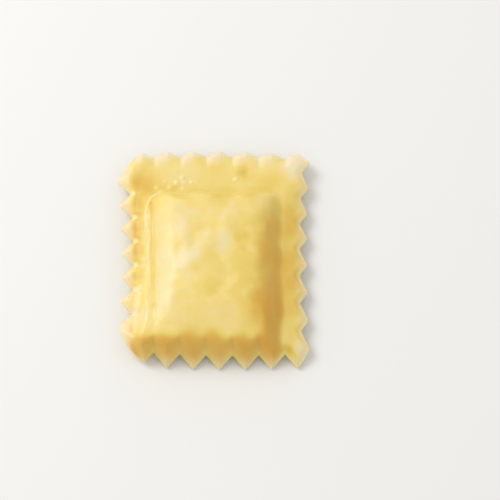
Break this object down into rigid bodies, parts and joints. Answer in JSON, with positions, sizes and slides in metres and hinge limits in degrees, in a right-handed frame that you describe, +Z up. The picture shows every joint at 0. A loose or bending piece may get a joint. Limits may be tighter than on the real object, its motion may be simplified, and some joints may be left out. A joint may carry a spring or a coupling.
{
  "type": "ravioli",
  "caption": "Single square raviolo of fresh egg pasta with a pinked edge, a filled pillow in the middle and a flat sealed rim.",
  "frame": {"origin": "middle of the footprint, on the surface that the raviolo rests on", "axes": "+X along the near edge to the right, +Y to the far edge along the longer side, +Z up out of the domed face"},
  "size_m": [0.0462, 0.0548, 0.0106],
  "materials": {
    "pasta": "moist satin egg pasta, paler at the cut edge"
  },
  "bodies": {
    "root": {"raviolo": "pasta"}
  },
  "joints": []
}
